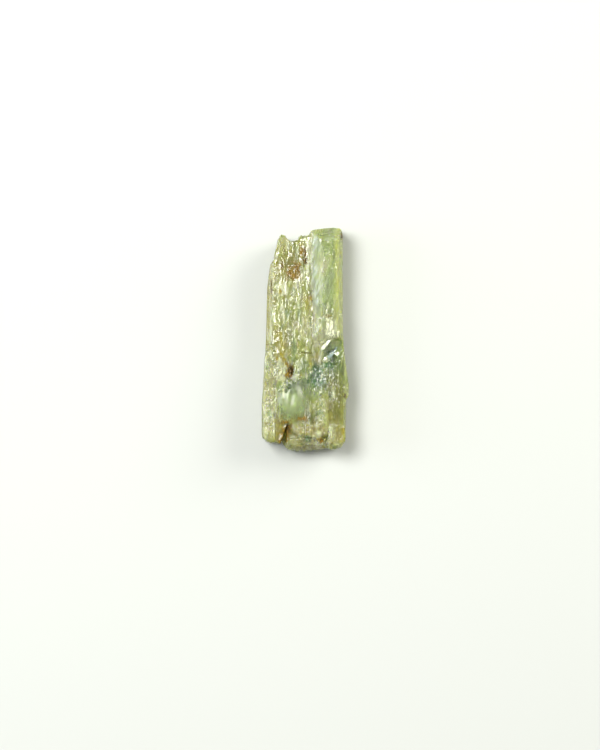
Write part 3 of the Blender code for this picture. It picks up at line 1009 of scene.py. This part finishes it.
def tip_chips(tree, blades, sources):
    """Fine striae along the blades, and chips that are tipped each its own way and so glint. Their
    tilt is the cube of a random number, which leaves most of them nearly level."""
    stria_bump = {"Height": sources["striae"], "Strength": STRIA_STRENGTH, "Distance": STRIA_HEIGHT * MM}
    bump = add(tree, "ShaderNodeBump", stria_bump)
    per_chip = [1 / size for size in CHIP_SIZE]
    stretched = add(tree, "ShaderNodeVectorMath", {0: blades, 1: per_chip}, operation="MULTIPLY").outputs[0]
    chips = add(tree, "ShaderNodeTexVoronoi", {"Vector": stretched, "Scale": 1.0}).outputs
    steps = {}
    for name, operation, first, second in (
        ("away", "SUBTRACT", stretched, chips["Position"]),
        ("drawn", "SUBTRACT", chips["Color"], (0.5, 0.5, 0.5)),
        ("squared", "MULTIPLY", "drawn", "drawn"),
        ("cubed", "MULTIPLY", "drawn", "squared"),
        ("tilt", "DOT_PRODUCT", "away", "cubed"),
    ):
        terms = {k: steps[term] if isinstance(term, str) else term for k, term in enumerate((first, second))}
        made = add(tree, "ShaderNodeVectorMath", terms, operation=operation)
        steps[name] = made.outputs["Value" if operation == "DOT_PRODUCT" else "Vector"]
    chip_bump = {"Height": steps["tilt"], "Strength": sources["glints"], "Distance": CHIP_HEIGHT * MM}
    return add(tree, "ShaderNodeBump", {**chip_bump, "Normal": bump.outputs[0]}).outputs[0]


def kyanite_material():
    """Green kyanite with faces that were cleaved and broken, then weathered a little, never polished.
    It is glassy and see-through but cloudy, so light goes in and comes back pale green. Splinters of
    different tone and gloss lie side by side, and chips between them glint."""
    material = bpy.data.materials.new("cleaved_green_kyanite")
    material.use_nodes = True
    tree = material.node_tree
    shader = tree.nodes["Principled BSDF"]

    place = add(tree, "ShaderNodeTexCoord").outputs["Object"]
    in_mm = {"Vector": place, "Rotation": (0, 0, math.radians(BLADE_TURN)), "Scale": (1 / MM,) * 3}
    blades = add(tree, "ShaderNodeMapping", in_mm).outputs[0]
    sources = {"everywhere": 1.0}
    for name in ZONE_MARKS + ("clear", "painted_sheen", "lath_tone", "splinter_tone"):
        sources[name] = add(tree, "ShaderNodeAttribute", attribute_name=name).outputs["Fac"]
    for name, (size, detail) in PATTERNS.items():
        per_spot = [1 / length for length in size]
        scaled = add(tree, "ShaderNodeVectorMath", {0: blades, 1: per_spot}, operation="MULTIPLY")
        spots = {"Vector": scaled.outputs[0], "Scale": 1.0, "Detail": detail}
        sources[name] = add(tree, "ShaderNodeTexNoise", spots).outputs[0]
    either = {0: sources["rust"], 1: sources["earth"]}
    sources["crust"] = add(tree, "ShaderNodeMath", either, operation="MAXIMUM").outputs[0]
    for name, source, low, high, at_low, at_high in SHARES:
        span = {"From Min": low, "From Max": high, "To Min": at_low, "To Max": at_high}
        follows = {"Value": sources[source], **span}
        made = add(tree, "ShaderNodeMapRange", follows, interpolation_type="SMOOTHSTEP")
        sources[name] = made.outputs[0]
    for name, operation, *terms in SUMS:
        values = {k: sources.get(term, term) for k, term in enumerate(terms)}
        sources[name] = add(tree, "ShaderNodeMath", values, operation=operation).outputs[0]

    tree.links.new(tint_stone(tree, sources), shader.inputs["Base Color"])
    tree.links.new(sources["roughness"], shader.inputs["Roughness"])
    tree.links.new(tip_chips(tree, blades, sources), shader.inputs["Normal"])
    for name, value in {
        "IOR": 1.72,  # kyanite's is 1.71 to 1.73
        "Transmission Weight": 0.8,
        "Subsurface Weight": 1.0,
        "Subsurface Radius": (1.0, 1.1, 0.6),
        "Subsurface Scale": 0.6 * MM,
    }.items():
        shader.inputs[name].default_value = value
    # Takes blue and some red out of light on its way through, and more of them where the stone is thick
    absorbed = {"Color": linear("#D8E094"), "Density": 170.0}  # per metre
    absorb = add(tree, "ShaderNodeVolumeAbsorption", absorbed)
    tree.links.new(absorb.outputs[0], tree.nodes["Material Output"].inputs["Volume"])
    return material


# ---------------------------------------------------------------- stage, light and camera

FLOOR_HALF = 1500.0
SKY_COLOUR, SKY_STRENGTH = "#FAFAF0", 0.36
# Soft lamps that look at the origin: name, place, side, watts, colour
LAMPS = [
    ("window", (-180.0, 125.0, 400.0), 200.0, 2.3, "#FFFEFA"),
    ("low_sky", (-420.0, 30.0, 110.0), 240.0, 0.85, "#E6EFFF"),
    ("wall", (330.0, 200.0, 200.0), 260.0, 1.7, "#FFFDF4"),
]


def make_floor():
    """A table with a matt white board on it. Gives a plain pale ground with soft shadows."""
    half = FLOOR_HALF * MM
    corners = [(-half, -half, 0.0), (half, -half, 0.0), (half, half, 0.0), (-half, half, 0.0)]
    mesh = bpy.data.meshes.new("table")
    mesh.from_pydata(corners, [], [(0, 1, 2, 3)])
    mesh.materials.append(plain_material("matt_white_board", "#C8CBC8", 0.8))
    floor = bpy.data.objects.new("table", mesh)
    bpy.context.scene.collection.objects.link(floor)


def make_lights():
    world = bpy.data.worlds.new("room")
    bpy.context.scene.world = world
    world.use_nodes = True
    sky = world.node_tree.nodes["Background"]
    sky.inputs["Color"].default_value = linear(SKY_COLOUR)
    sky.inputs["Strength"].default_value = SKY_STRENGTH
    for name, place, side, watts, colour in LAMPS:
        light = bpy.data.lights.new(name, "AREA")
        light.shape = "SQUARE"
        light.size = side * MM
        light.energy = watts
        light.color = linear(colour)[:3]
        lamp = bpy.data.objects.new(name, light)
        lamp.visible_camera = False
        bpy.context.scene.collection.objects.link(lamp)
        lamp.location = Vector(place) * MM
        lamp.rotation_euler = (-lamp.location).to_track_quat("-Z", "Y").to_euler()


def make_camera():
    data = bpy.data.cameras.new("camera")
    camera = bpy.data.objects.new("camera", data)
    bpy.context.scene.collection.objects.link(camera)
    data.sensor_width = SENSOR
    data.lens = SENSOR * CAMERA_HEIGHT / VIEW_HEIGHT
    data.clip_start = NEAREST_SEEN * MM
    camera.location = Vector((VIEW_CENTRE[0], VIEW_CENTRE[1], VIEW_CENTRE[2] + CAMERA_HEIGHT)) * MM
    bpy.context.scene.camera = camera


crystal = worked_mesh()
carve(crystal)
thin_out(crystal)
mark_zones(crystal)
crystal.data.materials.clear()
crystal.data.materials.append(kyanite_material())
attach(crystal, "root")
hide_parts(NODE)
add_flakes(crystal)

make_floor()
make_lights()
make_camera()
bpy.context.scene.view_settings.view_transform = "Standard"
